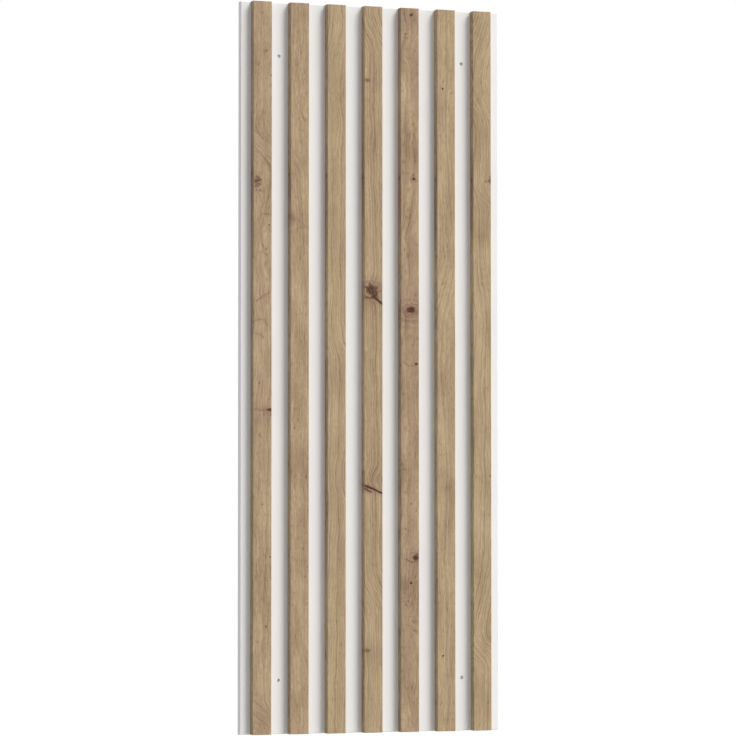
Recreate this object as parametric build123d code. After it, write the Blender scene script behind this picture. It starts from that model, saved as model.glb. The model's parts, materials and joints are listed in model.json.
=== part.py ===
from build123d import *
from math import radians, tan
import os

# Wall panel: a flat white board with upright oak slats, screwed on from behind.
# Millimetres. The board's back lies in the plane Y = 0, against the wall, and the slats face -Y.
# The origin is the middle of the board's back, +Z is up and +X runs across the slats.

# Driving dimensions of the board and the slats
panel_height = 1050.0
slat_count = 7
slat_width = 28.0
slat_gap = 28.0
slat_depth = 12.0
slat_edge_radius = 1.0
side_margin = 15.0
board_thickness = 12.0
board_edge_radius = 0.8

# Holes for the four wall screws, in the first and the last gap between slats
wall_hole_diameter = 5.0
wall_hole_end_distance = 77.0

# Countersunk screws that hold the slats, driven through the board from behind
screws_per_slat = 2
screw_end_distance = 150.0
screw_shank_diameter = 3.5
screw_head_diameter = 7.0
screw_head_angle = 90.0
screw_head_recess = 0.2

# Room left around the screws: at the head's seat, through the board and in the slat
head_seat_clearance = 0.1
board_hole_clearance = 0.25
pilot_clearance = 0.05
screw_tip_clearance = 1.0
slat_skin = 3.0

# Sizes that follow from the driving ones
slat_pitch = slat_width + slat_gap
panel_width = slat_count * slat_width + (slat_count - 1) * slat_gap + 2 * side_margin
wall_hole_spacing_x = (slat_count - 2) * slat_pitch
wall_hole_spacing_z = panel_height - 2 * wall_hole_end_distance
screw_spacing = (panel_height - 2 * screw_end_distance) / (screws_per_slat - 1)
screw_shank_radius = screw_shank_diameter / 2
screw_head_radius = screw_head_diameter / 2
screw_head_slope = tan(radians(screw_head_angle / 2))
pilot_depth = slat_depth - slat_skin
screw_tip_depth = board_thickness + pilot_depth - screw_tip_clearance

# Planes that face the wall: local X is +X, and drilling goes towards -Y
wall_plane = Plane(origin=(0, 0, 0), x_dir=(1, 0, 0), z_dir=(0, 1, 0))
slat_plane = wall_plane.offset(-board_thickness)


def make_board():
    """Backing board with eased front edges, wall screw holes and countersunk slat screw holes."""
    sink_radius = screw_head_radius + screw_head_recess * screw_head_slope
    with BuildPart() as board:
        with BuildSketch(wall_plane):
            Rectangle(panel_width, panel_height)
        extrude(amount=-board_thickness)
        fillet(board.faces().sort_by(Axis.Y)[0].edges(), board_edge_radius)
        with Locations(wall_plane):
            with GridLocations(wall_hole_spacing_x, wall_hole_spacing_z, 2, 2):
                Hole(wall_hole_diameter / 2, depth=board_thickness)
            with GridLocations(slat_pitch, screw_spacing, slat_count, screws_per_slat):
                CounterSinkHole(
                    radius=screw_shank_radius + board_hole_clearance,
                    counter_sink_radius=sink_radius + head_seat_clearance,
                    depth=board_thickness,
                    counter_sink_angle=screw_head_angle,
                )
    return board.part


def make_slat(centre_x):
    """One slat at its place on the board, with eased front edges and blind pilot holes."""
    with BuildPart() as slat:
        with BuildSketch(slat_plane):
            with Locations((centre_x, 0)):
                Rectangle(slat_width, panel_height)
        extrude(amount=-slat_depth)
        fillet(slat.faces().sort_by(Axis.Y)[0].edges(), slat_edge_radius)
        with Locations(slat_plane):
            with Locations((centre_x, 0)):
                with GridLocations(slat_pitch, screw_spacing, 1, screws_per_slat):
                    Hole(screw_shank_radius + pilot_clearance, depth=pilot_depth)
    return slat.part


def make_screw():
    """One countersunk screw on the local Z axis, with the wall plane at Z = 0 and its head up."""
    head_top = -screw_head_recess
    head_end = head_top - (screw_head_radius - screw_shank_radius) / screw_head_slope
    with BuildPart() as screw:
        with BuildSketch(Plane.XZ):
            with BuildLine():
                Polyline(
                    (0, head_top),
                    (screw_head_radius, head_top),
                    (screw_shank_radius, head_end),
                    (screw_shank_radius, -screw_tip_depth),
                    (0, -screw_tip_depth),
                    close=True,
                )
            make_face()
        revolve(axis=Axis.Z)
    return screw.part


def make_slat_screws():
    """All the slat screws at their places, as one group of separate solids."""
    screw = make_screw()
    places = GridLocations(slat_pitch, screw_spacing, slat_count, screws_per_slat)
    return Compound([wall_plane.location * place * screw for place in places])


os.makedirs("parts", exist_ok=True)
export_step(make_board(), "parts/backing_board.step")
for index in range(slat_count):
    slat_x = (index - (slat_count - 1) / 2) * slat_pitch
    export_step(make_slat(slat_x), f"parts/slat_{index + 1}.step")
export_step(make_slat_screws(), "parts/slat_screws.step")
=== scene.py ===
# %% [markdown]
# # A slatted wall panel
# The real panel is a white board with seven upright oak slats on its face. Its solids were drawn in CAD,
# and they are loaded here as a fixed frame in metres: X runs across the slats, Z is up and the slats
# face -Y. Every piece below takes its size and place from that frame, so nothing is fitted by eye.

import json
import math

import bpy
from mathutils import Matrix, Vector


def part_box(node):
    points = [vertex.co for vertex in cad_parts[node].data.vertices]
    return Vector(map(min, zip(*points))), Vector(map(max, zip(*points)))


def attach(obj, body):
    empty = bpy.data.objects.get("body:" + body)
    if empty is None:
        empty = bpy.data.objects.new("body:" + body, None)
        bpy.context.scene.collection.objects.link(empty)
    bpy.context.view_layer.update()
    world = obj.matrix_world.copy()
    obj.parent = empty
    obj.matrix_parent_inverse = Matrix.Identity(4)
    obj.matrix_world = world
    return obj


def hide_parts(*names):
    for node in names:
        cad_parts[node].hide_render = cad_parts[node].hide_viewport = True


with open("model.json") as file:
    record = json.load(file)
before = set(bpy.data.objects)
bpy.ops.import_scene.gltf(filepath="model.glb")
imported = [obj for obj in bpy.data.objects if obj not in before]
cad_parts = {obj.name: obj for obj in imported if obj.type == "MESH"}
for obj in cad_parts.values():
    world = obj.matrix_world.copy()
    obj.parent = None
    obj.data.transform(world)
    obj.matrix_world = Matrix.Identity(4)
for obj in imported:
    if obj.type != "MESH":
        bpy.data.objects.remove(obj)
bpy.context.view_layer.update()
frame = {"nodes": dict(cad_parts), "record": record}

# %% [markdown]
# ## Sizes
# The board, the slats and the screws already have their real size in the frame. The few numbers that the
# later steps need are read from it: how large a slat is, where each one stands and where its front lies.

# %% Read the sizes from the frame
millimetres = 1000
subparts = frame["record"]["subparts"]
slat_nodes = [part["node"] for part in subparts if part["material_slot"] == "oak"]
slat_low, slat_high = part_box(slat_nodes[0])
slat_size = slat_high - slat_low
slat_front = slat_low.y
slat_places = {node: sum(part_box(node), Vector()) / 2 for node in slat_nodes}
board_low, board_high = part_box("backing_board")
print(len(slat_nodes), "slats of", [round(millimetres * side, 1) for side in slat_size], "mm")
print("board of", [round(millimetres * side, 1) for side in board_high - board_low], "mm")

# %% [markdown]
# ## Camera
# The panel is seen from a little to its left and from a fair distance, so its upright edges stay nearly
# parallel. A long lens far away gives that look. The camera stands on a circle round the panel's middle,
# a little below it, and is turned to an aim point with a track quaternion.

# %% Place the camera
camera_azimuth = math.radians(-19.03)
camera_distance = 5.2853
camera_height = -0.2169
camera_aim = Vector((-0.0084, -0.024, -0.0001))
camera_lens = 178.41

camera_data = bpy.data.cameras.new("panel_camera")
camera_data.lens = camera_lens
camera = bpy.data.objects.new("panel_camera", camera_data)
camera.location = (
    camera_distance * math.sin(camera_azimuth),
    -camera_distance * math.cos(camera_azimuth),
    camera_height,
)
camera.rotation_euler = (camera_aim - camera.location).to_track_quat("-Z", "Y").to_euler()
scene = bpy.context.scene
scene.collection.objects.link(camera)
scene.camera = camera
scene.view_settings.view_transform = "Standard"
print("camera at", [round(value, 3) for value in camera.location])

# %% [markdown]
# ## Light
# On the real panel the slat fronts are evenly bright and a soft shadow lies on the board to the left of
# each slat. One broad lamp, up and to the right, makes that shadow, and light from all around fills it. A
# weak lamp far to the right skims past the slats, so the gaps stay a little darker than the open margin,
# and a very weak one behind on the left keeps the board's left edge from going grey.
# Sun lamps with a wide angle are used, because their light is the same at the top and at the bottom. The
# levels add up to about one on the slat fronts, so a colour renders about as it is written.

# %% Light the panel
ambient_level = 0.37
lamps = {
    "key_lamp": {"level": 0.853, "towards": Vector((0.78, -1.0, 1.3)).normalized(), "spread": 28},
    "side_lamp": {"level": 0.24, "towards": Vector((2.2, -1.0, 0.3)).normalized(), "spread": 50},
    "edge_lamp": {"level": 0.06, "towards": Vector((-1.0, 1.0, 0.3)).normalized(), "spread": 30},
}
for name, lamp in lamps.items():
    lamp_data = bpy.data.lights.new(name, "SUN")
    lamp_data.energy = lamp["level"] * math.pi
    lamp_data.angle = math.radians(lamp["spread"])
    lamp_object = bpy.data.objects.new(name, lamp_data)
    lamp_object.rotation_euler = lamp["towards"].to_track_quat("Z", "Y").to_euler()
    scene.collection.objects.link(lamp_object)
    print(name, "gives", round(max(0.0, lamp["level"] * -lamp["towards"].y), 3), "on the slat fronts")

# %% [markdown]
# ## Background
# The panel stands before plain white. The world gives only the fill light to the panel, but shows white
# to the camera and in reflections: Light Path tells these rays apart. A pale floor lies well below the
# panel, where it would be in a room. It is lit like anything else, so it keeps the panel's shadow, and
# it glows just enough for the camera to see its open part as white too.

# %% Make the world white for the camera
def seen_directly(tree):
    """A mask that is one for camera, glossy and transmission rays."""
    path = tree.nodes.new("ShaderNodeLightPath")
    mask = path.outputs["Is Camera Ray"]
    for ray in ("Is Glossy Ray", "Is Transmission Ray"):
        either = tree.nodes.new("ShaderNodeMath")
        either.operation = "MAXIMUM"
        tree.links.new(mask, either.inputs[0])
        tree.links.new(path.outputs[ray], either.inputs[1])
        mask = either.outputs[0]
    return mask


def glow_when_seen(tree, low, high, socket):
    """Feed a strength socket with the high value for rays that see the surface directly."""
    level = tree.nodes.new("ShaderNodeMapRange")
    level.inputs["To Min"].default_value = low
    level.inputs["To Max"].default_value = high
    tree.links.new(seen_directly(tree), level.inputs["Value"])
    tree.links.new(level.outputs["Result"], socket)


world = bpy.data.worlds.new("studio")
world.use_nodes = True
scene.world = world
sky = world.node_tree.nodes["Background"]
sky.inputs["Color"].default_value = (1, 1, 1, 1)
glow_when_seen(world.node_tree, ambient_level, 1.0, sky.inputs["Strength"])
print("world strength", ambient_level, "as light and 1.0 as background")

# %% Lay the floor
floor_drop = 0.35
floor_reach = 7.0
floor_white = 0.5
seen_white = 1.02
floor_light = ambient_level + sum(lamp["level"] * lamp["towards"].z for lamp in lamps.values())
floor_level = floor_white * floor_light
floor_glow = seen_white - floor_level

floor_mesh = bpy.data.meshes.new("floor")
floor_z = board_low.z - floor_drop
corners = ((-1, -1), (1, -1), (1, 1), (-1, 1))
floor_corners = [(floor_reach * x, floor_reach * y, floor_z) for x, y in corners]
floor_mesh.from_pydata(floor_corners, [], [(0, 1, 2, 3)])
floor = bpy.data.objects.new("floor", floor_mesh)
scene.collection.objects.link(floor)

floor_paint = bpy.data.materials.new("floor_paint")
floor_paint.use_nodes = True
tree = floor_paint.node_tree
tree.nodes.remove(tree.nodes["Principled BSDF"])
diffuse = tree.nodes.new("ShaderNodeBsdfDiffuse")
diffuse.inputs["Color"].default_value = (floor_white, floor_white, floor_white, 1)
glow = tree.nodes.new("ShaderNodeEmission")
glow_when_seen(tree, 0.0, floor_glow, glow.inputs["Strength"])
both = tree.nodes.new("ShaderNodeAddShader")
tree.links.new(diffuse.outputs[0], both.inputs[0])
tree.links.new(glow.outputs[0], both.inputs[1])
tree.links.new(both.outputs[0], tree.nodes["Material Output"].inputs["Surface"])
floor_mesh.materials.append(floor_paint)
print("floor", floor_drop, "m below the panel")
print("floor level", round(floor_level, 3), "plus glow", round(floor_glow, 3))

# %% [markdown]
# ## Sums in shader trees
# Wood grain is a formula: a distance here, a wave there. In Blender each plus or minus is a Math node, and
# wiring dozens of them by hand hides the formula. So a small class wraps a socket and adds a node for each
# Python operator. What comes out is an ordinary node tree.

# %% A socket that can be added and multiplied
def plug(tree, value, socket):
    """Link a signal to a socket, or set the socket to a plain value."""
    if isinstance(value, Signal):
        tree.links.new(value.socket, socket)
    else:
        socket.default_value = value


def arithmetic(tree, operation, *values):
    """Add one Math node and give back its result."""
    node = tree.nodes.new("ShaderNodeMath")
    node.operation = operation
    for value, socket in zip(values, node.inputs):
        plug(tree, value, socket)
    return Signal(tree, node.outputs[0])


class Signal:
    """A socket of a shader tree that takes part in ordinary sums."""

    def __init__(self, tree, socket):
        self.tree = tree
        self.socket = socket

    def __add__(self, other):
        return arithmetic(self.tree, "ADD", self, other)

    def __sub__(self, other):
        return arithmetic(self.tree, "SUBTRACT", self, other)

    def __rsub__(self, other):
        return arithmetic(self.tree, "SUBTRACT", other, self)

    def __mul__(self, other):
        return arithmetic(self.tree, "MULTIPLY", self, other)

    def __truediv__(self, other):
        return arithmetic(self.tree, "DIVIDE", self, other)

    def __pow__(self, other):
        return arithmetic(self.tree, "POWER", self, other)


# %% Shapes of a curve
def root(value):
    """Square root."""
    return arithmetic(value.tree, "SQRT", value)


def larger(first, second):
    """The larger of two values."""
    return arithmetic(first.tree, "MAXIMUM", first, second)


def smaller(first, second):
    """The smaller of two values."""
    return arithmetic(first.tree, "MINIMUM", first, second)


def cosine(value):
    """Cosine of an angle in radians."""
    return arithmetic(value.tree, "COSINE", value)


def bell(distance):
    """One at the middle, falling smoothly to nothing: exp(-distance squared)."""
    return arithmetic(distance.tree, "EXPONENT", distance * distance * -1.0)


def ramp(value, start, end):
    """Rise smoothly from zero at start to one at end. Start may be the larger one."""
    node = value.tree.nodes.new("ShaderNodeMapRange")
    node.interpolation_type = "SMOOTHSTEP"
    plug(value.tree, value, node.inputs["Value"])
    plug(value.tree, start, node.inputs["From Min"])
    plug(value.tree, end, node.inputs["From Max"])
    return Signal(value.tree, node.outputs["Result"])


# %% Points and noise
def axes(point):
    """The three coordinates of a point as separate signals."""
    node = point.tree.nodes.new("ShaderNodeSeparateXYZ")
    plug(point.tree, point, node.inputs[0])
    return [Signal(point.tree, socket) for socket in node.outputs]


def to_point(tree, x, y, z):
    """Three values joined to a point."""
    node = tree.nodes.new("ShaderNodeCombineXYZ")
    for value, socket in zip((x, y, z), node.inputs):
        plug(tree, value, socket)
    return Signal(tree, node.outputs[0])


def vector_sum(operation, first, second):
    """Add one Vector Math node and give back its vector, or its value for products and lengths."""
    node = first.tree.nodes.new("ShaderNodeVectorMath")
    node.operation = operation
    plug(first.tree, first, node.inputs[0])
    factor = node.inputs["Scale"] if operation == "SCALE" else node.inputs[1]
    plug(first.tree, second, factor)
    single = operation in ("DOT_PRODUCT", "DISTANCE")
    return Signal(first.tree, node.outputs["Value" if single else "Vector"])


def noise(point, size, detail=2.0, roughness=0.5):
    """Soft noise around zero, whose blobs have the given size along X, Y and Z."""
    mapping = point.tree.nodes.new("ShaderNodeMapping")
    mapping.inputs["Scale"].default_value = [1 / side for side in size]
    plug(point.tree, point, mapping.inputs["Vector"])
    node = point.tree.nodes.new("ShaderNodeTexNoise")
    node.inputs["Scale"].default_value = 1.0
    node.inputs["Detail"].default_value = detail
    node.inputs["Roughness"].default_value = roughness
    point.tree.links.new(mapping.outputs[0], node.inputs["Vector"])
    return Signal(point.tree, node.outputs[0]) - 0.5


def line_noise(value, detail):
    """Soft noise around zero along one value, with blobs of about one."""
    node = value.tree.nodes.new("ShaderNodeTexNoise")
    node.noise_dimensions = "1D"
    node.inputs["Scale"].default_value = 1.0
    node.inputs["Detail"].default_value = detail
    plug(value.tree, value, node.inputs["W"])
    return Signal(value.tree, node.outputs[0]) - 0.5


def blend_colours(amount, first, second):
    """The first colour where the amount is zero and the second where it is one."""
    node = amount.tree.nodes.new("ShaderNodeMix")
    node.data_type = "RGBA"
    # A Mix node has sockets for every type. Its colours are inputs 6 and 7 and output 2.
    plug(amount.tree, amount, node.inputs[0])
    plug(amount.tree, first, node.inputs[6])
    plug(amount.tree, second, node.inputs[7])
    return Signal(amount.tree, node.outputs[2])


# %% Shader groups
def start_group(name, inputs, outputs):
    """An empty shader group with named sockets: its tree, its inputs as signals, and its way out."""
    group = bpy.data.node_groups.new(name, "ShaderNodeTree")
    for direction, sockets in (("INPUT", inputs), ("OUTPUT", outputs)):
        for label, kind in sockets.items():
            group.interface.new_socket(name=label, in_out=direction, socket_type="NodeSocket" + kind)
    entry = group.nodes.new("NodeGroupInput")
    way_out = group.nodes.new("NodeGroupOutput")
    given = {label: Signal(group, entry.outputs[label]) for label in inputs}
    return group, given, way_out


def end_group(group, way_out, results):
    """Feed the group's outputs and say how large it is."""
    for label, value in results.items():
        plug(group, value, way_out.inputs[label])
    print("shader group", group.name, "has", len(group.nodes), "nodes")


def place_group(tree, group, values):
    """Put a group into a tree with its own values, and give back its outputs by name."""
    node = tree.nodes.new("ShaderNodeGroup")
    node.node_tree = group
    for label, value in values.items():
        plug(tree, value, node.inputs[label])
    return {socket.name: Signal(tree, socket) for socket in node.outputs}


def srgb(red, green, blue):
    """A colour as picture programs write it, 0 to 255, in Blender's linear values."""
    shares = [channel / 255 for channel in (red, green, blue)]
    linear = [s / 12.92 if s <= 0.04045 else ((s + 0.055) / 1.055) ** 2.4 for s in shares]
    return (*linear, 1.0)


# %% [markdown]
# ## Knots
# A knot is where a branch grew. The rings of the trunk bend round it, its heart is dark, and the wood near
# it is browner, often in faint rings. A picture of a knot could be painted, but a formula stays sharp in
# close views and runs on round the slat's corner. The knot group gives a push, which bends the trunk's
# rings, and two masks: the dark heart, blotchy where it is large, and the brown halo. Lengths are in
# millimetres, and points count from the middle of the slat's front.

# %% The knot group
wobble_size = (5, 5, 6)
wobble_strength = 1.1
mottle_size = (2.2, 2.2, 2.6)
mottle_least = 0.6
mottle_more = 2.6
large_heart_fade = 0.05
blotchy_heights = (2.5, 7.0)
haloed_heights = (1.8, 2.6)
heart_edge = (1.25, 0.4)
push_reach = 1.5
halo_reach = 2.2
halo_level = 0.6
eye_ring_turn = 5.5
eye_ring_start = 2.1

knot_group, given, way_out = start_group(
    "oak_knot",
    {"Point": "Vector", "X": "Float", "Z": "Float", "Half Width": "Float", "Half Height": "Float",
     "Slant": "Float", "Push": "Float", "Dark": "Float", "Rings": "Float"},
    {"Push": "Float", "Dark": "Float", "Halo": "Float"},
)
x, _, z = axes(given["Point"])
down = z - given["Z"]
across = x - given["X"] - down * given["Slant"]
wobble = noise(given["Point"], wobble_size, detail=3, roughness=0.6)
reach = root((across / given["Half Width"]) ** 2.0 + (down / given["Half Height"]) ** 2.0)
rough_reach = reach * (wobble * wobble_strength + 1.0)
blotchy = ramp(given["Half Height"], *blotchy_heights)
mottle_strength = blotchy * mottle_more + mottle_least
mottle = noise(given["Point"], mottle_size) * mottle_strength + 1.0 - blotchy * large_heart_fade
eye_rings = cosine(rough_reach * eye_ring_turn + eye_ring_start) * given["Rings"] + halo_level
haloed = ramp(given["Half Height"], *haloed_heights)
end_group(knot_group, way_out, {
    "Push": bell(reach / push_reach) * given["Push"],
    "Dark": ramp(rough_reach, *heart_edge) * given["Dark"] * mottle,
    "Halo": bell(rough_reach / halo_reach) * given["Dark"] * eye_rings * haloed,
})

# %% [markdown]
# ## Cracks and dark lines
# Some knots have split as they dried, and thin dark lines run out of them or follow a ring. Each is a
# stretch from one point to another with a width. The distance to that stretch gives the mask, and noise
# bends it first, so that no line is ruler straight.

# %% The crack group
sway_size = (7, 7, 7)
sway_reach = 5.0
ragged_size = (2.5, 2.5, 2.5)
ragged_strength = 1.8
width_at_start = 1.25
width_lost = 0.5
crack_edge = (1.2, 0.3)
crack_halo_reach = 2.5
crack_halo_share = 0.5

crack_group, given, way_out = start_group(
    "oak_crack",
    {"Point": "Vector", "Start": "Vector", "End": "Vector", "Half Width": "Float", "Dark": "Float"},
    {"Dark": "Float", "Halo": "Float"},
)
x, _, z = axes(given["Point"])
sway = noise(given["Point"], sway_size, detail=3, roughness=0.7) * sway_reach
flat_point = to_point(crack_group, x, 0.0, z + sway)
along = vector_sum("SUBTRACT", given["End"], given["Start"])
offset = vector_sum("SUBTRACT", flat_point, given["Start"])
share = vector_sum("DOT_PRODUCT", offset, along) / vector_sum("DOT_PRODUCT", along, along)
inside = smaller(larger(share, 0.0), 1.0)
nearest = vector_sum("SCALE", along, inside)
gap = vector_sum("DISTANCE", offset, nearest)
ragged = noise(given["Point"], ragged_size) * ragged_strength + 1.0
taper = width_at_start - inside * width_lost
ragged_gap = gap * ragged / (taper * given["Half Width"])
end_group(crack_group, way_out, {
    "Dark": ramp(ragged_gap, *crack_edge) * given["Dark"],
    "Halo": bell(ragged_gap / crack_halo_reach) * given["Dark"] * crack_halo_share,
})

# %% [markdown]
# ## Oak grain
# A slat is a strip cut from a trunk, so its grain is the trunk's rings where the saw met them. The group
# works that out in space: the distance from the trunk's middle line, bent by noise and by the knots, is
# counted in rings. A wave along that count, made uneven by noise, draws the ring lines, and short dashes
# follow them. Fine fibres, flecks and pores run along the slat, and slow noise shifts the colour between
# tan and a rosier brown. Wood made in space this way fits together at the corners, which a flat picture
# wrapped round the slat would not.

# %% Oak colours
oak_tan = srgb(175, 152, 119)
oak_rosy = srgb(162, 136, 110)
oak_halo = srgb(138, 105, 88)
oak_heart = srgb(74, 46, 28)
print("oak tan is", [round(value, 3) for value in oak_tan[:3]], "in linear values")

# %% The oak grain group
wander_size = (60, 60, 190)
wander_reach = 20.0
figure_size = (12, 12, 40)
seed_steps = (137.0, 71.0, 311.0)

grain_group, given, way_out = start_group(
    "oak_grain",
    {"Point": "Vector", "Push": "Float", "Dark": "Float", "Halo": "Float", "Pith X": "Float",
     "Pith Y": "Float", "Lean": "Float", "Figure": "Float", "Ring Width": "Float", "Lines": "Float",
     "Patches": "Float", "Rosy": "Float", "Seed": "Float"},
    {"Color": "Color", "Roughness": "Float", "Height": "Float"},
)
x, y, z = axes(given["Point"])
seed = given["Seed"]
seed_shift = to_point(grain_group, *[seed * step for step in seed_steps])
own_point = vector_sum("ADD", given["Point"], seed_shift)

wander = noise(own_point, wander_size, detail=1) * wander_reach
figure = noise(own_point, figure_size, detail=2, roughness=0.4) * given["Figure"]
sideways = x - given["Pith X"] - z * given["Lean"]
depth = y - given["Pith Y"]
from_pith = root(sideways * sideways + depth * depth)
rings = (from_pith + wander + figure + given["Push"]) / given["Ring Width"]
print("the rings are counted with", len(grain_group.nodes), "nodes")

# %% Lines, dashes and patches on the rings
year_spread = 1.2
line_sharpness = 3.0
line_mean = 0.31
hold_change = 2.4
hold_mean = 0.65
dash_edge = (0.04, 0.2)
fleck_edge = (0.11, 0.24)
fleck_size = (1.5, 1.5, 7)
pore_edge = (0.12, 0.24)
pore_size = (0.4, 0.4, 6)
fibre_size = (0.7, 0.7, 14)
patch_size = (20, 20, 62)
hue_size = (15, 15, 80)


def ring_noise(per_ring, length, detail=2.0):
    """Noise that follows the rings, with so many blobs to a ring, each so many millimetres long."""
    return noise(to_point(grain_group, rings * per_ring, seed, z / length), (1, 1, 1), detail)


year = line_noise(rings, detail=1)
wave = cosine((rings + year * year_spread) * (2 * math.pi)) * 0.5 + 0.5
held = larger(ring_noise(per_ring=0.6, length=60.0) * hold_change + hold_mean, 0.0)
ring_line = (wave ** line_sharpness - line_mean) * held * given["Lines"]
line = ring_noise(per_ring=1.6, length=18.0)
dash = ramp(ring_noise(per_ring=2.2, length=8.0, detail=1), *dash_edge)
fleck = ramp(noise(own_point, fleck_size, detail=1), *fleck_edge)
fibre = noise(own_point, fibre_size, detail=3, roughness=0.6)
patch = noise(own_point, patch_size, detail=3)
hue = noise(own_point, hue_size, detail=2)
pore = ramp(noise(own_point, pore_size, detail=1), *pore_edge)
print("with lines, flecks and pores:", len(grain_group.nodes), "nodes")

# %% How much each trait of the grain counts
stripe_shares = {"line": 0.38, "year": 0.20, "ring_line": -0.28}
grain_shares = {"fibre": 0.38, "fleck": 0.18, "dash": -0.22, "pore": -0.10}
roughness_shares = {"fibre": 0.12, "pore": 0.10, "dash": 0.06, "dark": -0.08}
height_shares = {"fibre": 0.6, "line": 0.4, "pore": -0.5, "dash": -0.4, "dark": -0.5}
traits = {"line": line, "year": year, "ring_line": ring_line, "fibre": fibre, "fleck": fleck,
          "dash": dash, "pore": pore, "dark": given["Dark"]}
print("traits of the grain:", ", ".join(traits))


def weigh(values, shares):
    """The sum of the values that have a share, each times its share."""
    terms = [values[label] * share for label, share in shares.items()]
    return sum(terms[1:], start=terms[0])


# %% From grain to colour
knot_stripes = 1.2
broken_most = 1.35
broken_less = 0.6
tone_lift = 0.03
hue_strength = 1.8
year_strength = 0.6
green_gain = 1.13
blue_gain = 1.28
side_green = 0.04
side_blue = 0.12
slat_half_width = millimetres / 2 * slat_size.x
side_edge = (slat_half_width - 0.8, slat_half_width - 0.1)
halo_gain = 1.15
halo_most = 0.9
plain_roughness = 0.56

busy = given["Halo"] * knot_stripes + 1.0
broken = broken_most - given["Lines"] * broken_less
broken_traits = {**traits, "line": line * broken, "dash": dash * broken}
stripes = weigh(broken_traits, stripe_shares) * busy
grains = weigh(broken_traits, grain_shares)
tone = stripes + grains + patch * given["Patches"] + tone_lift
rosy = smaller(larger(given["Rosy"] + hue * hue_strength - year * year_strength, 0.0), 1.0)
# Dark lines are browner as well as darker, so green and blue fall more than red. The sides are greyer.
side = ramp(root(x * x), *side_edge)
green = (tone * green_gain + 1.0) * (side * side_green + 1.0)
blue = (tone * blue_gain + 1.0) * (side * side_blue + 1.0)
tint = to_point(grain_group, tone + 1.0, green, blue)
wood = vector_sum("MULTIPLY", blend_colours(rosy, oak_tan, oak_rosy), tint)
browned = blend_colours(smaller(given["Halo"] * halo_gain, halo_most), wood, oak_halo)
end_group(grain_group, way_out, {
    "Color": blend_colours(smaller(given["Dark"], 1.0), browned, oak_heart),
    "Roughness": weigh(traits, roughness_shares) + plain_roughness,
    "Height": weigh(traits, height_shares),
})

# %% [markdown]
# ## One oak for each slat
# No two slats come from the same place in the trunk. A slat's wood is described by a few words: where the
# trunk's middle line lies, how much the grain waves, how wide its rings are and how rosy it is. Then come
# its marks: knots and pin knots, bends of the rings round something unseen, browner stains, drifts where
# the rings shift sideways, and cracks or thin dark lines. Places are in millimetres: X from the slat's
# middle, Z from the panel's middle.

# %% Words for the marks in the wood
pin_half_width = 1.6
pin_half_height = 2.0
pin_push = 1.5
pin_strength = 0.85
ripple_half_width = 1.0
ripple_skew = 2.0
ripple_turn = 2.4
slat_woods = {}


def knot(x, z, half_width, half_height, push, dark, slant=0.0, rings=0.45):
    """A knot with its place, its size, how far it pushes the rings and how dark it is."""
    return {"X": x, "Z": z, "Half Width": half_width, "Half Height": half_height,
            "Slant": slant, "Push": push, "Dark": dark, "Rings": rings}


def dot(x, z, dark=0.8):
    """A pin knot of a few millimetres."""
    return knot(x, z, pin_half_width, pin_half_height, pin_push, pin_strength * dark)


def bend(x, z, half_width, half_height, push):
    """Rings that swing round something unseen, with no dark heart."""
    return knot(x, z, half_width, half_height, push, dark=0.0)


def stain(x, z, half_width, half_height, strength, rings=0.0):
    """Browner wood with no dark heart, plain or with soft rings."""
    return knot(x, z, half_width, half_height, 0.0, strength, rings=rings)


def drift(start, end, shift):
    """Rings that shift sideways, by so many millimetres, between two heights."""
    return {"Start": start, "End": end, "Shift": shift}


def crack(start, end, half_width, dark):
    """A dark line from one point to another."""
    return {"Start": (start[0], 0.0, start[1]), "End": (end[0], 0.0, end[1]),
            "Half Width": half_width, "Dark": dark}


def ripples(x, heights, half_length, dark):
    """Short flat lines, each a little askew, where the saw met the rings nearly flat."""
    lines = []
    for count, z in enumerate(heights):
        skew = ripple_skew * math.sin(ripple_turn * count)
        start = (x - half_length + skew, z + skew)
        end = (x + half_length - skew, z - skew)
        lines.append(crack(start, end, ripple_half_width, dark))
    return lines


def set_wood(name, knots=(), stains=(), drifts=(), cracks=(), **grain):
    """Write down the grain and the marks of one slat."""
    marks = {"knots": knots, "stains": stains, "drifts": drifts, "cracks": cracks}
    slat_woods[name] = {**grain, **marks}
    print(name, "has", {mark: len(places) for mark, places in marks.items()})


print("a pin knot in the middle:", dot(0, 0))

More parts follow.
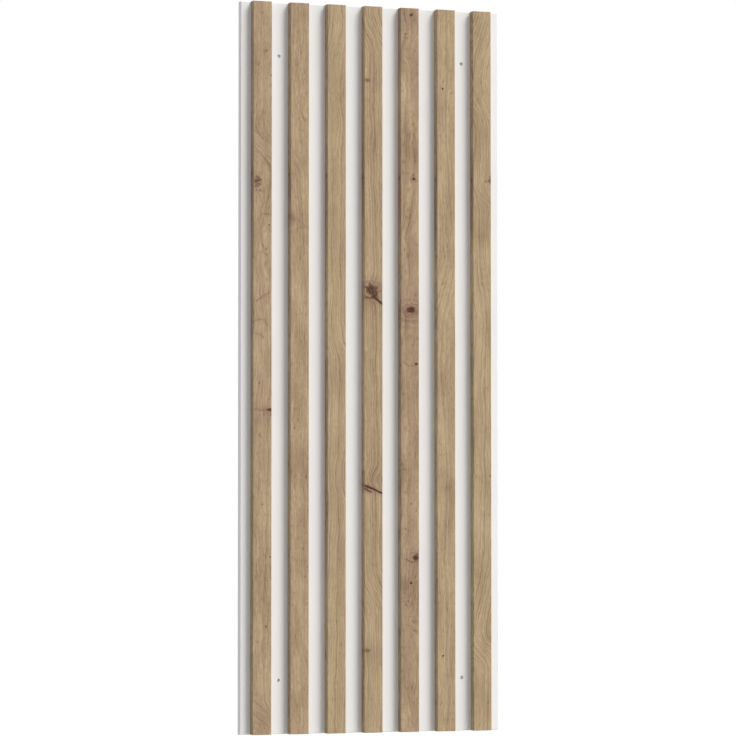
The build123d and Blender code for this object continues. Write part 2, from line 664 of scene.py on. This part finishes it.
# %% The wood of slat 1
set_wood(
    "slat_1", pith=(-70, 40), lean=0.01, figure=12.0, ring=3.6, lines=0.7, patches=0.8, rosy=0.50,
    knots=[
        dot(5.8, 453.5), dot(12.6, 418, 0.5), dot(-7, 433, 0.4), knot(-6.5, 265, 6, 8, 9, 0.5),
        dot(-9, 253, 0.55), dot(-4.4, 252, 0.5),
        dot(10, 203), bend(0, 191, 7, 22, 9), dot(5, 168, 0.5), dot(-4.4, -23.5, 0.6),
        dot(0.6, 41.5, 0.35), knot(10.8, -61.8, 4.6, 2.4, 6, 0.95), dot(12.5, -68.5, 0.6),
        dot(1.8, -68.5, 0.35), dot(0, -197, 0.6), dot(12, -272, 0.7), dot(5.5, -371),
        dot(13, -406, 0.5), dot(-7, -393, 0.4),
    ],
    stains=[
        stain(2, 316.5, 8, 14, 0.3), stain(-5, 273, 6, 4, 0.45), stain(3, 100.5, 6, 4, 0.25),
        stain(3, -61, 9, 2.2, 0.6), stain(8.5, -68, 4.5, 4.5, 0.6), stain(4, -508, 9, 9, 0.35),
    ],
    drifts=[drift(342.5, 284.5, -37), drift(-475.5, -520, -37)],
    cracks=[
        crack((-10.5, 345), (-1, 326), 0.8, 0.35), crack((2, 329), (13, 318), 0.8, 0.25),
        crack((-10, 309), (2, 300), 0.8, 0.3), crack((3, 299), (13.5, 288), 0.8, 0.35),
        crack((-11, 265), (-3, 268), 1.6, 0.85), crack((-9, 272), (-2, 267.5), 1.3, 0.7),
        crack((-10.5, 258), (-3.8, 261), 1.3, 0.5),
        crack((11.6, 218), (0, 219), 0.8, 0.28), crack((0, 219), (-4.4, 209), 0.8, 0.28),
        crack((-4.4, 209), (-3.7, 193), 0.8, 0.22), crack((-3.7, 193), (-0.6, 172), 0.8, 0.22),
        crack((9.6, 105.5), (-0.6, 99.5), 2.2, 0.22), crack((-0.6, 99.5), (-9.4, 93.5), 2.2, 0.25),
        crack((-13.5, 64.5), (-4.7, 67.2), 1.6, 0.22), crack((-4.7, 67.2), (2.9, 67), 1.6, 0.22),
        crack((2.9, 67), (8.5, 58), 1.4, 0.22), crack((-12.3, 48), (-4.7, 46), 1.0, 0.2),
        crack((-4.7, 46), (0.6, 41.5), 1.0, 0.25),
        crack((13.5, -62.5), (5, -62), 2.2, 0.4), crack((4, -62.5), (-12, -61.5), 2.6, 0.2),
        crack((-12, -476.5), (10, -495.5), 0.8, 0.3), crack((-12, -494.5), (12, -514), 0.8, 0.3),
    ],
)

# %% The wood of slats 2 to 4
set_wood(
    "slat_2", pith=(-90, 30), lean=-0.01, figure=10.0, ring=3.4, lines=0.6, patches=0.75, rosy=0.48,
    knots=[dot(-7.4, -87.5, 0.7), dot(10, -158, 0.5), dot(11.6, -286.5, 0.3), dot(10, -338.5, 0.3)],
    stains=[
        stain(6, 298.5, 6, 8, 0.3), stain(-11, 214, 4, 5, 0.9), stain(0, -135, 7, 10, 0.5),
        stain(8, -150, 4, 8, 0.6), stain(1.5, -222, 6, 7, 0.5),
    ],
    drifts=[drift(313.5, 278.5, -11), drift(-385, -420, -8)],
    cracks=[crack((-13.5, 217), (-9, 211), 3.2, 0.22), crack((14, 201), (-8, 199), 0.8, 0.18)],
)
set_wood(
    "slat_3", pith=(-120, 20), lean=0.015, figure=9.0, ring=3.2, lines=1.1, patches=0.4, rosy=0.25,
    knots=[bend(-4, 411, 9, 30, 5), bend(14, -152, 10, 18, 11)],
    stains=[stain(12, -167, 4, 7, 0.4)],
    drifts=[drift(505, 440, 10), drift(65, 5, -14)],
)
set_wood(
    "slat_4", pith=(-110, 30), lean=-0.012, figure=9.0, ring=3.8, lines=1.25, patches=0.55, rosy=0.30,
    knots=[
        knot(-4.5, 113, 7, 7, 6, 1.05), knot(1.5, 107, 5.5, 7.5, 6, 1.0), knot(1, 115, 6, 5, 0, 0.75),
        knot(-9.5, 417, 4.6, 3.2, 0, 0.55, rings=0.0), knot(-9.5, -407, 4.6, 3.2, 0, 0.55, rings=0.0),
        bend(-2, -160, 13, 8, 6),
    ],
    stains=[
        stain(-4, 417, 9, 7, 0.25), stain(0, 95, 8, 8, 0.4), stain(8, 102, 5, 5, 0.7),
        stain(-4, -160, 8, 5, 0.55), stain(-4, -407, 9, 7, 0.25),
    ],
    drifts=[drift(520, 455, -18), drift(-285, -355, -20)],
    cracks=[
        crack((-11.5, 116.5), (-7, 112.5), 1.7, 0.85), crack((-5.9, 122), (0, 115.5), 1.6, 0.8),
        crack((-3.5, 109.5), (3, 103.5), 2.2, 0.85),
        crack((8, 111), (12.5, 113), 1.0, 0.6), crack((-11.5, 102.5), (-4, 101), 1.6, 0.7),
        crack((-1, 103.5), (14, 92.5), 2.6, 0.95),
        crack((-11.5, -170), (14, -181), 1.9, 1.05), crack((-12, -174.5), (-3.7, -179), 1.5, 0.9),
    ],
)

# %% The wood of slat 5
set_wood(
    "slat_5", pith=(-50, 45), lean=0.02, figure=14.0, ring=4.0, lines=0.75, patches=0.85, rosy=0.72,
    knots=[
        knot(2.4, 515, 2.7, 2.3, 4, 0.95, 0.4), dot(-6.5, 486.5, 0.6), bend(0, 459.5, 8, 14, 9),
        knot(6, 275.5, 3.2, 2.4, 6, 0.95), knot(1.4, 85, 7.6, 4.6, 12, 1.25),
        knot(9.4, 6.5, 2.6, 2.2, 6, 0.95),
        dot(1.4, -196, 0.6), dot(9.4, -206, 0.4), dot(-7, -232, 0.6), knot(8.6, -273.8, 5.0, 4.0, 9, 1.0),
        knot(10.6, -270, 3.6, 2.6, 0, 0.6),
        knot(1.8, -310.5, 2.8, 2.0, 4, 0.95), dot(-6.5, -340.5, 0.6), bend(0, -366, 8, 14, 9),
    ],
    stains=[
        stain(0, 510, 9, 8, 0.5), stain(1.4, 83.5, 10.5, 8.6, 0.7, 0.75), stain(6, 20, 8, 10, 0.3),
        stain(0, -57.5, 9, 10, 0.3), stain(5, -276, 6, 5, 0.5), stain(9, -282, 5, 4, 0.45),
        stain(0, -318, 9, 8, 0.35),
    ],
    cracks=[
        *ripples(-8, (506, 499, 493), 4.5, 0.15), *ripples(-6, (487.5, 481), 4.5, 0.25),
        *ripples(-8, (-318, -325, -331), 4.5, 0.15), *ripples(-6, (-336.5, -343), 4.5, 0.25),
        *ripples(-2, (465, 452), 6, 0.15), *ripples(-1, (-359, -372), 6, 0.15),
        crack((6, 275.5), (5.4, 283), 1.2, 0.45), crack((6, 275), (10.5, 272), 1.1, 0.4),
        crack((-7.5, 76), (1.4, 73), 0.8, 0.4), crack((1.4, 73), (9.5, 76), 0.8, 0.4),
        crack((-7, 69.5), (8.5, 70), 0.7, 0.3), crack((8, 4.5), (-1, 3.5), 1.4, 0.22),
        crack((-1, 3.5), (-10.5, 9.5), 1.4, 0.28), crack((-6, -276), (2, -280.5), 1.0, 0.5),
        crack((2, -280.5), (11, -278.5), 1.2, 0.5),
    ],
)

# %% The wood of slats 6 and 7
set_wood(
    "slat_6", pith=(-100, 25), lean=-0.02, figure=8.0, ring=3.4, lines=0.7, patches=0.65, rosy=0.15,
    knots=[dot(-5.3, 409, 1.3), dot(-5.3, -416, 1.3)],
    stains=[stain(4, -174, 7, 9, 0.4)],
    drifts=[drift(173, 50, 16)],
)
set_wood(
    "slat_7", pith=(60, 35), lean=0.015, figure=7.0, ring=2.7, lines=1.2, patches=0.65, rosy=0.0,
    knots=[knot(12.2, 276.5, 3.4, 2.8, 4, 0.65), bend(13, 270, 8, 10, -9), dot(12, -155, 0.8)],
    stains=[
        stain(4, 238, 8, 8, 0.3), stain(10, 285, 4, 8, 0.3), stain(4, 260, 7, 8, 0.3),
        stain(5, 198, 7, 9, 0.25),
    ],
    drifts=[
        drift(560, 375, -22), drift(425, 350, 24), drift(273.5, 228, 9), drift(205, 50, 16),
        drift(-266, -420, -22), drift(-372, -440, 26),
    ],
    cracks=[
        crack((5, 275.5), (12.5, 277), 1.3, 0.4), crack((12, 282), (13.2, 271), 1.1, 0.5),
        crack((-6, 261), (12, 244), 0.8, 0.22), crack((-9, 254), (8, 238), 0.8, 0.18),
    ],
)

# %% [markdown]
# ## Putting the oak together
# Each slat gets a material of its own. Object coordinates are in metres from the panel's origin, and a
# Mapping node turns them into millimetres from the middle of that slat's front. The pushes of the knots
# and drifts are added up, and the masks are laid over each other with Maximum. The side that faces left
# has one more mark: a dark spot with a reddish stain under it, at the same height on every slat.

# %% What all materials share
def start_material(name):
    """A new material, its tree and its Principled shader."""
    material = bpy.data.materials.new(name)
    material.use_nodes = True
    return material, material.node_tree, material.node_tree.nodes["Principled BSDF"]


def object_point(tree):
    """The place on a piece, in metres from the panel's origin."""
    return Signal(tree, tree.nodes.new("ShaderNodeTexCoord").outputs["Object"])


def add_bump(tree, shader, height, strength, distance):
    """Let a height tilt the shader's normal."""
    bump = tree.nodes.new("ShaderNodeBump")
    bump.inputs["Strength"].default_value = strength
    bump.inputs["Distance"].default_value = distance
    plug(tree, height, bump.inputs["Height"])
    tree.links.new(bump.outputs["Normal"], shader.inputs["Normal"])


# %% The marks of one slat
spot_height = 276.5
stain_drop = 24
side_spot = knot(0, spot_height, 5, 4.5, 0, 0.5)
side_stain = stain(0, spot_height - stain_drop, 9, 26, 0.85)
slat_half_depth = millimetres / 2 * slat_size.y
left_side_edge = (1.0 - slat_half_width, 0.4 - slat_half_width)
print("spot on the left sides", spot_height, "mm above the middle")


def slat_point(tree, node):
    """Object coordinates in millimetres from the middle of a slat's front."""
    mapping = tree.nodes.new("ShaderNodeMapping")
    mapping.inputs["Scale"].default_value = (millimetres, millimetres, millimetres)
    front_middle = Vector((slat_places[node].x, slat_front, 0))
    mapping.inputs["Location"].default_value = -millimetres * front_middle
    plug(tree, object_point(tree), mapping.inputs["Vector"])
    return Signal(tree, mapping.outputs[0])


def add_marks(tree, point, wood):
    """All marks of one slat: the total push, and the dark and halo masks."""
    x, y, z = axes(point)
    side_point = to_point(tree, y - slat_half_depth, 0.0, z)
    on_left_side = ramp(x, *left_side_edge)
    spot = place_group(tree, knot_group, {"Point": side_point, **side_spot})
    below = place_group(tree, knot_group, {"Point": side_point, **side_stain})
    dark = spot["Dark"] * on_left_side
    halo = larger(spot["Halo"], below["Halo"]) * on_left_side
    push = 0.0
    for values in wood["drifts"]:
        push = ramp(z, values["Start"], values["End"]) * values["Shift"] + push
    for values in wood["knots"]:
        mark = place_group(tree, knot_group, {"Point": point, **values})
        push = mark["Push"] + push
        if values["Dark"] > 0:
            dark = larger(dark, mark["Dark"])
            halo = larger(halo, mark["Halo"])
    for values in wood["stains"]:
        mark = place_group(tree, knot_group, {"Point": point, **values})
        halo = larger(halo, mark["Halo"])
    for values in wood["cracks"]:
        mark = place_group(tree, crack_group, {"Point": point, **values})
        dark = larger(dark, mark["Dark"])
        halo = larger(halo, mark["Halo"])
    return push, dark, halo


# %% Make the seven oak materials
oak_specular = 0.2
grain_bump_strength = 0.5
grain_bump = 0.00025


def oak_material(node, seed):
    """The oak of one slat."""
    wood = slat_woods[node]
    material, tree, shader = start_material("oak_" + node)
    point = slat_point(tree, node)
    push, dark, halo = add_marks(tree, point, wood)
    pith_x, pith_y = wood["pith"]
    oak = place_group(tree, grain_group, {
        "Point": point, "Push": push, "Dark": dark, "Halo": halo, "Pith X": pith_x, "Pith Y": pith_y,
        "Lean": wood["lean"], "Figure": wood["figure"], "Ring Width": wood["ring"],
        "Lines": wood["lines"], "Patches": wood["patches"], "Rosy": wood["rosy"], "Seed": seed,
    })
    shader.inputs["Specular IOR Level"].default_value = oak_specular
    plug(tree, oak["Color"], shader.inputs["Base Color"])
    plug(tree, oak["Roughness"], shader.inputs["Roughness"])
    add_bump(tree, shader, oak["Height"], grain_bump_strength, grain_bump)
    return material


oak_materials = {node: oak_material(node, seed) for seed, node in enumerate(slat_nodes, start=1)}
print("oak materials:", ", ".join(material.name for material in oak_materials.values()))

# %% [markdown]
# ## Slats
# A slat is a planed strip with its front edges eased by a light sanding, and two blind pilot holes in its
# back for the screws. Seven copies of one strip are a case for Geometry Nodes: one tree makes a strip from
# named sizes, and each slat runs it with its own place and wood. The tree marks the four front edges with
# a bevel weight, and a Bevel modifier behind it rounds just those.

# %% Start of a Geometry Nodes tree
def start_tree(name, inputs):
    """An empty Geometry Nodes tree with named inputs: the tree, the way in and the way out."""
    nodes_tree = bpy.data.node_groups.new(name, "GeometryNodeTree")
    nodes_tree.interface.new_socket(name="Geometry", in_out="INPUT", socket_type="NodeSocketGeometry")
    for label, kind in inputs.items():
        nodes_tree.interface.new_socket(name=label, in_out="INPUT", socket_type="NodeSocket" + kind)
    nodes_tree.interface.new_socket(name="Geometry", in_out="OUTPUT", socket_type="NodeSocketGeometry")
    return nodes_tree, nodes_tree.nodes.new("NodeGroupInput"), nodes_tree.nodes.new("NodeGroupOutput")


def add_node(tree, kind, links=(), values=(), **settings):
    """Add a node, with its settings, its plain values and the sockets that feed it, by name or number."""
    node = tree.nodes.new(kind)
    for label, value in settings.items():
        setattr(node, label, value)
    for label, value in dict(values).items():
        node.inputs[label].default_value = value
    for label, source in dict(links).items():
        tree.links.new(source, node.inputs[label])
    return node


# %% Small steps inside a tree, and its end
def times(tree, socket, factor):
    """A socket times a plain number."""
    return add_node(tree, "ShaderNodeMath", {0: socket}, {1: factor}, operation="MULTIPLY").outputs[0]


def point_from(tree, **sockets):
    """A point whose X, Y or Z come from sockets. The rest is zero."""
    return add_node(tree, "ShaderNodeCombineXYZ", sockets).outputs[0]


def moved(tree, geometry, offset):
    """Geometry moved by an offset."""
    sockets = {"Geometry": geometry, "Translation": offset}
    return add_node(tree, "GeometryNodeTransform", sockets).outputs[0]


def cut(tree, mesh, tool):
    """A mesh with the shape of a tool cut out of it."""
    sockets = {"Mesh 1": mesh, "Mesh 2": tool}
    node = add_node(tree, "GeometryNodeMeshBoolean", sockets, operation="DIFFERENCE", solver="EXACT")
    return node.outputs["Mesh"]


def united(tree, *meshes):
    """One mesh from several that overlap."""
    node = add_node(tree, "GeometryNodeMeshBoolean", operation="UNION", solver="EXACT")
    for mesh in meshes:
        tree.links.new(mesh, node.inputs["Mesh 2"])
    return node.outputs["Mesh"]


def end_tree(tree, geometry, place, entry, way_out):
    """Move the result to its place, make its instances real and give it its finish."""
    placed = moved(tree, geometry, place)
    realized = add_node(tree, "GeometryNodeRealizeInstances", {0: placed})
    finish = {"Geometry": realized.outputs[0], "Material": entry.outputs["Finish"]}
    finished = add_node(tree, "GeometryNodeSetMaterial", finish)
    tree.links.new(finished.outputs[0], way_out.inputs["Geometry"])
    print("tree", tree.name, "has", len(tree.nodes), "nodes")


# %% The slat tree
screw_rows = 2
pilot_sides = 24

slat_tree, entry, way_out = start_tree("slat_strip", {
    "Size": "Vector", "Place": "Vector", "Pilot Radius": "Float", "Pilot Depth": "Float",
    "Pilot Spacing": "Float", "Finish": "Material",
})
strip = add_node(slat_tree, "GeometryNodeMeshCube", {"Size": entry.outputs["Size"]})
size_axes = add_node(slat_tree, "ShaderNodeSeparateXYZ", {0: entry.outputs["Size"]})
half_thick = times(slat_tree, size_axes.outputs["Y"], 0.5)
drill_length = times(slat_tree, entry.outputs["Pilot Depth"], 2.0)
drill = add_node(
    slat_tree, "GeometryNodeMeshCylinder",
    {"Radius": entry.outputs["Pilot Radius"], "Depth": drill_length}, {"Vertices": pilot_sides},
)
lowest = times(slat_tree, entry.outputs["Pilot Spacing"], -0.5)
first_hole = point_from(slat_tree, Y=half_thick, Z=lowest)
hole_step = point_from(slat_tree, Z=entry.outputs["Pilot Spacing"])
holes = add_node(
    slat_tree, "GeometryNodeMeshLine", {"Start Location": first_hole, "Offset": hole_step},
    {"Count": screw_rows},
)
drills = add_node(
    slat_tree, "GeometryNodeInstanceOnPoints",
    {"Points": holes.outputs[0], "Instance": drill.outputs["Mesh"]}, {"Rotation": (math.pi / 2, 0, 0)},
)
solid_drills = add_node(slat_tree, "GeometryNodeRealizeInstances", {0: drills.outputs[0]})
drilled = cut(slat_tree, strip.outputs["Mesh"], solid_drills.outputs[0])
print("slat tree so far:", len(slat_tree.nodes), "nodes")

# %% Mark the front edges and finish the tree
front_share = 0.99
edge_ends = add_node(slat_tree, "GeometryNodeInputMeshEdgeVertices")
front_y = times(slat_tree, half_thick, -front_share)
at_front = []
for end in ("Position 1", "Position 2"):
    end_axes = add_node(slat_tree, "ShaderNodeSeparateXYZ", {0: edge_ends.outputs[end]})
    compared = {0: end_axes.outputs["Y"], 1: front_y}
    before = add_node(slat_tree, "ShaderNodeMath", compared, operation="LESS_THAN")
    at_front.append(before.outputs[0])
front_edge = add_node(slat_tree, "ShaderNodeMath", {0: at_front[0], 1: at_front[1]}, operation="MULTIPLY")
marked = add_node(
    slat_tree, "GeometryNodeStoreNamedAttribute", {"Geometry": drilled, "Value": front_edge.outputs[0]},
    {"Name": "bevel_weight_edge"}, data_type="FLOAT", domain="EDGE",
)
end_tree(slat_tree, marked.outputs[0], entry.outputs["Place"], entry, way_out)

# %% Run the tree once for each slat
edge_radius = 0.001
edge_segments = 4
pilot_radius = 0.0018
pilot_depth = 0.009
pilot_spacing = 0.750
large_face = 1e-4


def run_tree(name, nodes_tree, values, bevel=0.0):
    """Make a plain mesh from a tree with its own values. A bevel eases the edges that it marked."""
    piece = bpy.data.objects.new(name, bpy.data.meshes.new(name + "_start"))
    scene.collection.objects.link(piece)
    maker = piece.modifiers.new("maker", "NODES")
    maker.node_group = nodes_tree
    for socket in nodes_tree.interface.items_tree:
        if socket.in_out == "INPUT" and socket.name in values:
            maker[socket.identifier] = values[socket.name]
    if bevel:
        rounding = piece.modifiers.new("eased_edges", "BEVEL")
        rounding.limit_method = "WEIGHT"
        rounding.width = bevel
        rounding.segments = edge_segments
    depsgraph = bpy.context.evaluated_depsgraph_get()
    mesh = bpy.data.meshes.new_from_object(piece.evaluated_get(depsgraph), depsgraph=depsgraph)
    mesh.name = name
    # A Boolean leaves an empty material slot before the finish, so the slots are set anew.
    mesh.materials.clear()
    mesh.materials.append(values["Finish"])
    for face in mesh.polygons:
        face.material_index = 0
    piece.modifiers.clear()
    piece.data = mesh
    return piece


for node in slat_nodes:
    slat = run_tree("oak_" + node, slat_tree, {
        "Size": slat_size, "Place": slat_places[node], "Pilot Radius": pilot_radius,
        "Pilot Depth": pilot_depth, "Pilot Spacing": pilot_spacing, "Finish": oak_materials[node],
    }, bevel=edge_radius)
    for face in slat.data.polygons:
        face.use_smooth = face.area < large_face
    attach(slat, "root")
    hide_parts(node)
    print(slat.name, "has", len(slat.data.polygons), "faces and the finish", slat.data.materials[0].name)

# %% [markdown]
# ## Screws
# Behind, two countersunk screws hold each slat through the board. Only their heads show, a little below
# the board's back, each with a cross recess for the driver. A head is a cone, a shank is a cylinder and
# the recess is two crossed bars cut out of the head, so primitives and one Boolean make the screw. Instance
# on Points then sets it at each place of a grid.

# %% The screw tree
screw_low, screw_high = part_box("slat_screws")
head_radius = 0.0035
shank_radius = 0.00175
head_depth = head_radius - shank_radius
screw_length = screw_high.y - screw_low.y
column_span = screw_high.x - screw_low.x - 2 * head_radius
row_span = screw_high.z - screw_low.z - 2 * head_radius
recess_width = 0.0010
recess_reach = 0.0040
recess_depth = 0.0013
screw_sides = 40

screw_tree, entry, way_out = start_tree("slat_screw_grid", {
    "Head Radius": "Float", "Shank Radius": "Float", "Head Depth": "Float", "Length": "Float",
    "Column Span": "Float", "Row Span": "Float", "Columns": "Int", "Head Face": "Vector",
    "Finish": "Material",
})
head = add_node(
    screw_tree, "GeometryNodeMeshCone",
    {"Radius Top": entry.outputs["Head Radius"], "Radius Bottom": entry.outputs["Shank Radius"],
     "Depth": entry.outputs["Head Depth"]}, {"Vertices": screw_sides},
)
bars = []
for sides in ((recess_reach, recess_width), (recess_width, recess_reach)):
    bar = add_node(screw_tree, "GeometryNodeMeshCube", {}, {"Size": (*sides, 2 * recess_depth)})
    bars.append(bar.outputs["Mesh"])
head_top = point_from(screw_tree, Z=entry.outputs["Head Depth"])
recess = moved(screw_tree, united(screw_tree, *bars), head_top)
cut_head = cut(screw_tree, head.outputs["Mesh"], recess)
lengths = {0: entry.outputs["Length"], 1: entry.outputs["Head Depth"]}
shank_length = add_node(screw_tree, "ShaderNodeMath", lengths, operation="SUBTRACT").outputs[0]
shank = add_node(
    screw_tree, "GeometryNodeMeshCylinder",
    {"Radius": entry.outputs["Shank Radius"], "Depth": shank_length}, {"Vertices": screw_sides},
)
shank_middle = point_from(screw_tree, Z=times(screw_tree, shank_length, -0.5))
screw = united(screw_tree, cut_head, moved(screw_tree, shank.outputs["Mesh"], shank_middle))
print("screw tree so far:", len(screw_tree.nodes), "nodes")

# %% Set a screw at each place
grid = add_node(
    screw_tree, "GeometryNodeMeshGrid",
    {"Size X": entry.outputs["Column Span"], "Size Y": entry.outputs["Row Span"],
     "Vertices X": entry.outputs["Columns"]}, {"Vertices Y": screw_rows},
)
screws = add_node(
    screw_tree, "GeometryNodeInstanceOnPoints", {"Points": grid.outputs["Mesh"], "Instance": screw},
)
turned = add_node(
    screw_tree, "GeometryNodeTransform", {"Geometry": screws.outputs[0]}, {"Rotation": (-math.pi / 2, 0, 0)},
)
end_tree(screw_tree, turned.outputs[0], entry.outputs["Head Face"], entry, way_out)

# %% [markdown]
# ## Zinc
# The screws are bright zinc: a pale grey metal, a little blotchy, with fine scratches that soften its
# gloss. It is fully metallic, and noise moves the colour and the roughness.

# %% The zinc material
zinc_pale = srgb(204, 205, 203)
zinc_dull = srgb(168, 170, 172)
zinc_middle = 0.5
zinc_contrast = 1.6
zinc_roughness = 0.34
zinc_roughness_shares = {"cloud": 0.3, "scratch": 0.2}
cloud_size = (0.002, 0.002, 0.002)
scratch_size = (0.0002, 0.0002, 0.002)


def zinc_material():
    """Bright zinc plating."""
    material, tree, shader = start_material("zinc_plating")
    point = object_point(tree)
    cloud = noise(point, cloud_size, detail=3)
    wear = {"cloud": cloud, "scratch": noise(point, scratch_size, detail=2)}
    blotches = cloud * zinc_contrast + zinc_middle
    shader.inputs["Metallic"].default_value = 1.0
    plug(tree, blend_colours(blotches, zinc_pale, zinc_dull), shader.inputs["Base Color"])
    plug(tree, weigh(wear, zinc_roughness_shares) + zinc_roughness, shader.inputs["Roughness"])
    return material


screw_set = run_tree("slat_screw_set", screw_tree, {
    "Head Radius": head_radius, "Shank Radius": shank_radius, "Head Depth": head_depth,
    "Length": screw_length, "Column Span": column_span, "Row Span": row_span, "Columns": len(slat_nodes),
    "Head Face": Vector((0, screw_high.y - head_depth, 0)), "Finish": zinc_material(),
})
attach(screw_set, "root")
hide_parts("slat_screws")
screw_depths = [vertex.co.y for vertex in screw_set.data.vertices]
print("screws reach from y", round(min(screw_depths), 4), "to", round(max(screw_depths), 4))

# %% [markdown]
# ## White board
# The board has a white satin facing. From a step away it is one even white, but close up such a facing has
# a very fine pebbled texture that breaks up the gloss, and its white drifts a little. The board's solid is
# right as it is, holes included, so it keeps its CAD mesh and only gets this material.

# %% The board's facing
board_white = srgb(242, 241, 240)
board_shade = srgb(238, 237, 235)
white_drift_size = (0.06, 0.06, 0.15)
pebble_size = (0.0009, 0.0009, 0.0009)
speck_size = (0.0025, 0.0025, 0.0025)
facing_specular = 0.3
shade_middle = 0.4
shade_shares = {"drift": 1.4, "speck": 0.5}
facing_roughness = 0.46
facing_roughness_shares = {"pebble": 0.2, "drift": 0.1}
pebble_bump_strength = 0.25
pebble_bump = 0.0001


def facing_material():
    """White satin facing with a fine pebble."""
    material, tree, shader = start_material("white_facing")
    point = object_point(tree)
    sizes = {"drift": white_drift_size, "pebble": pebble_size, "speck": speck_size}
    noises = {label: noise(point, size) for label, size in sizes.items()}
    shade = weigh(noises, shade_shares) + shade_middle
    shader.inputs["Specular IOR Level"].default_value = facing_specular
    plug(tree, blend_colours(shade, board_white, board_shade), shader.inputs["Base Color"])
    roughness = weigh(noises, facing_roughness_shares) + facing_roughness
    plug(tree, roughness, shader.inputs["Roughness"])
    add_bump(tree, shader, noises["pebble"], pebble_bump_strength, pebble_bump)
    return material


facing = facing_material()
board_slots = frame["nodes"]["backing_board"].material_slots
for slot in board_slots:
    slot.material = facing
print("board facing set in", len(board_slots), "slot")
